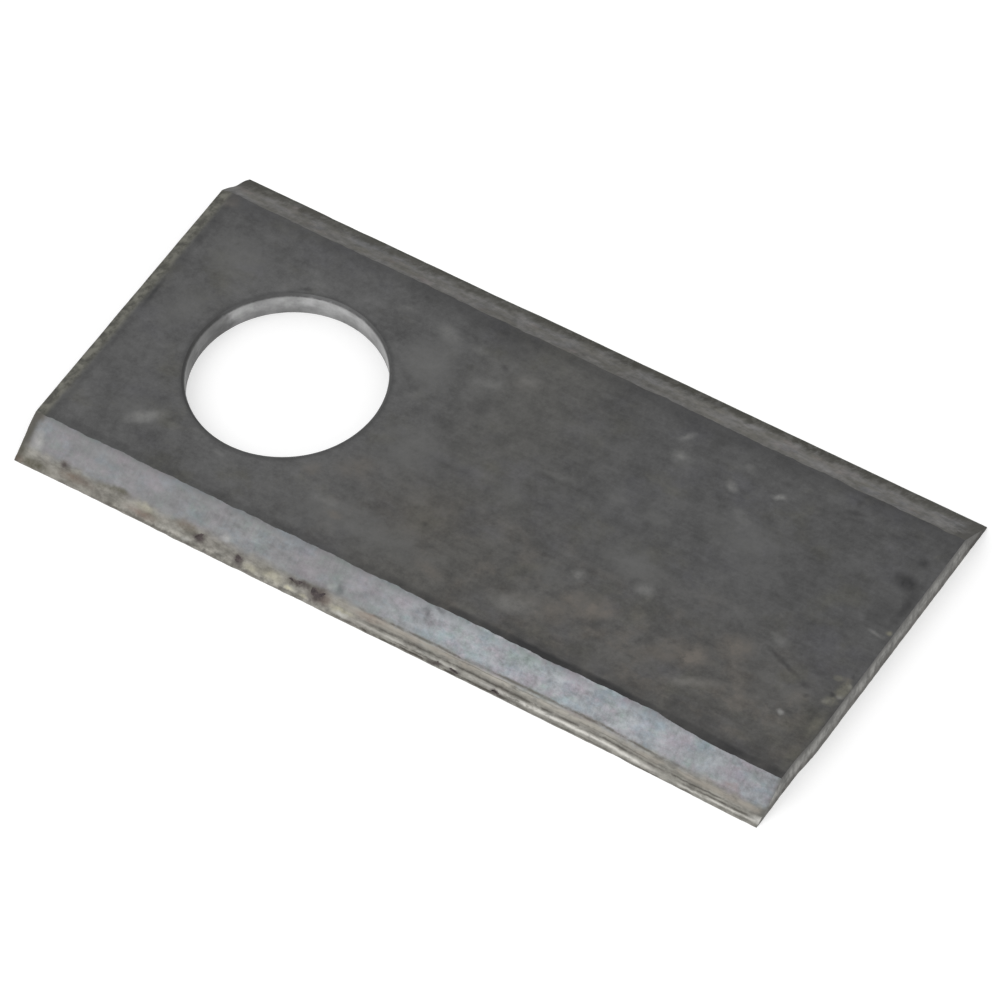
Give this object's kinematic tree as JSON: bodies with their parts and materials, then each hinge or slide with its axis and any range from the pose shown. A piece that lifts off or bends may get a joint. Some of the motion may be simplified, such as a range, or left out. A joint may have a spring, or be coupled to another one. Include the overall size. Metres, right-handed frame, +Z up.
{
  "type": "rotary mower blade",
  "caption": "Flat oblong steel knife for a rotary mower, ground to a cutting edge along both long sides, with a large punched pivot hole near one end.",
  "frame": {"origin": "on the pivot hole's axis, at the underside of the blade", "axes": "+X along the blade towards the end without the hole, +Z up along the pivot hole's axis, +Y across towards the rear cutting edge"},
  "size_m": [0.096, 0.046, 0.003],
  "materials": {
    "blade_steel": "dark mill scale on the flats, bright ground steel on the bevels and in the hole"
  },
  "bodies": {
    "root": {"blade": "blade_steel"}
  },
  "joints": []
}
